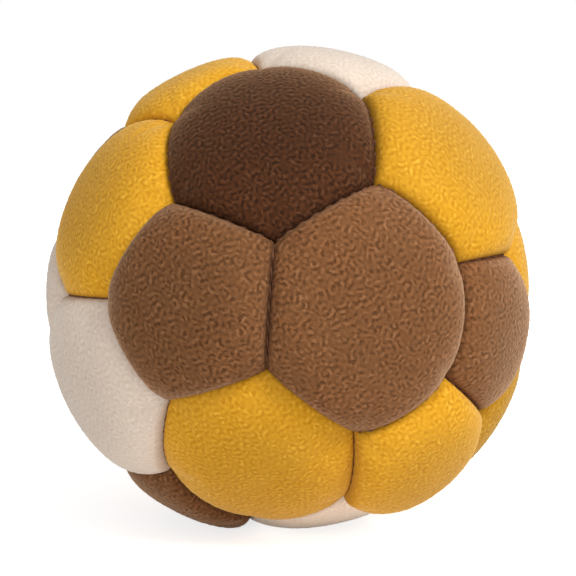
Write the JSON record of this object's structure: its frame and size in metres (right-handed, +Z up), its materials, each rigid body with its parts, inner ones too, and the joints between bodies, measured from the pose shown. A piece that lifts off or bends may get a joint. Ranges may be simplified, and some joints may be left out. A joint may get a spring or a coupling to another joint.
{
  "type": "footbag",
  "caption": "Round stuffed suede footbag sewn edge to edge from crowned five-sided and six-sided panels in mustard, brown, dark brown and cream, over a loose filling.",
  "frame": {"origin": "on the flat that the ball rests on, straight below the ball's middle", "axes": "+Z up, -Y towards the viewer, +X to the viewer's right"},
  "size_m": [0.0542, 0.0557, 0.0537],
  "materials": {
    "mustard_suede": "synthetic suede with a short curled nap",
    "brown_suede": "synthetic suede with a short curled nap",
    "dark_brown_suede": "synthetic suede with a short curled nap",
    "cream_suede": "synthetic suede with a short smooth nap",
    "seam_thread": "twisted polyester thread",
    "pellet_filling": "small smooth plastic pellets"
  },
  "bodies": {
    "root": {"pentagon_panel_01": "brown_suede", "pentagon_panel_02": "cream_suede", "hexagon_panel_01": "cream_suede", "pentagon_panel_03": "brown_suede", "hexagon_panel_02": "mustard_suede", "hexagon_panel_03": "dark_brown_suede", "pentagon_panel_04": "brown_suede", "hexagon_panel_04": "mustard_suede", "pentagon_panel_05": "brown_suede", "hexagon_panel_05": "mustard_suede", "hexagon_panel_06": "cream_suede", "pentagon_panel_06": "brown_suede", "hexagon_panel_07": "mustard_suede", "hexagon_panel_08": "cream_suede", "pentagon_panel_07": "mustard_suede", "hexagon_panel_09": "dark_brown_suede", "hexagon_panel_10": "brown_suede", "pentagon_panel_08": "mustard_suede", "hexagon_panel_11": "mustard_suede", "hexagon_panel_12": "dark_brown_suede", "pentagon_panel_09": "mustard_suede", "hexagon_panel_13": "cream_suede", "hexagon_panel_14": "mustard_suede", "pentagon_panel_10": "brown_suede", "pentagon_panel_11": "mustard_suede", "pentagon_panel_12": "brown_suede", "filling": "pellet_filling"}
  },
  "joints": []
}
